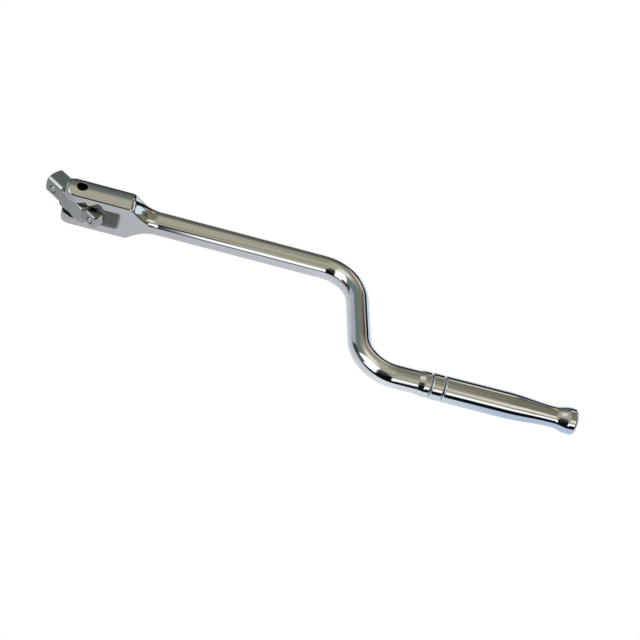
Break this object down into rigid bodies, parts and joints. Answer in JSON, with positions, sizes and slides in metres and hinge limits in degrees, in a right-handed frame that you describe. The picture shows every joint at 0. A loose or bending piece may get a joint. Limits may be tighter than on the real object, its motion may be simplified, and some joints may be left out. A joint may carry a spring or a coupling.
{
  "type": "speed brace",
  "caption": "Chromed crank-handle brace: a yoke head with a flip drive of two square sizes, a bent round bar with a crank offset, and a spinning polished grip.",
  "frame": {"origin": "middle of the footprint of the brace as it lies with its crank level, at the height of the lowest point of the yoke head", "axes": "+X from the yoke head to the grip, +Z along the pivot pin, the crank offset towards -Y"},
  "size_m": [0.3548, 0.104, 0.03],
  "materials": {
    "chrome_plate": "mirror polish",
    "bearing_steel": "polished",
    "spring_steel": "satin",
    "black_steel": "black oxide",
    "bronze": "sintered"
  },
  "bodies": {
    "brace": {"brace_bar": "chrome_plate", "pivot_pin": "black_steel", "upper_friction_washer": "spring_steel", "lower_friction_washer": "spring_steel", "front_collar": "chrome_plate", "spacer_ring": "chrome_plate", "front_thrust_washer": "bronze", "rear_thrust_washer": "bronze", "retaining_ring": "spring_steel"},
    "flip_drive": {"drive_head": "chrome_plate", "half_inch_spring": "spring_steel", "three_eighth_spring": "spring_steel"},
    "half_inch_detent": {"half_inch_ball": "bearing_steel"},
    "three_eighth_detent": {"three_eighth_ball": "bearing_steel"},
    "grip": {"grip_sleeve": "chrome_plate", "front_bush": "bronze", "rear_bush": "bronze", "end_plug": "chrome_plate"}
  },
  "joints": [
    {"name": "drive_flip", "type": "hinge", "parent": "brace", "child": "flip_drive", "pos_m": [-0.15415, 0.0324, 0.015], "axis": [0, 0, 1], "continuous": true},
    {"name": "half_inch_ball_press", "type": "slide", "parent": "flip_drive", "child": "half_inch_detent", "axis": [0.599, 0.8007, 0], "range_m": [0, 0.0009], "stiffness_N_per_m": 2000, "springref_m": -0.001, "deforming": ["half_inch_spring"]},
    {"name": "three_eighth_ball_press", "type": "slide", "parent": "flip_drive", "child": "three_eighth_detent", "axis": [0.599, 0.8007, 0], "range_m": [0, 0.00075], "stiffness_N_per_m": 2000, "springref_m": -0.001, "deforming": ["three_eighth_spring"]},
    {"name": "grip_spin", "type": "hinge", "parent": "brace", "child": "grip", "pos_m": [0.116, -0.0436, 0.015], "axis": [1, 0, 0], "continuous": true}
  ]
}
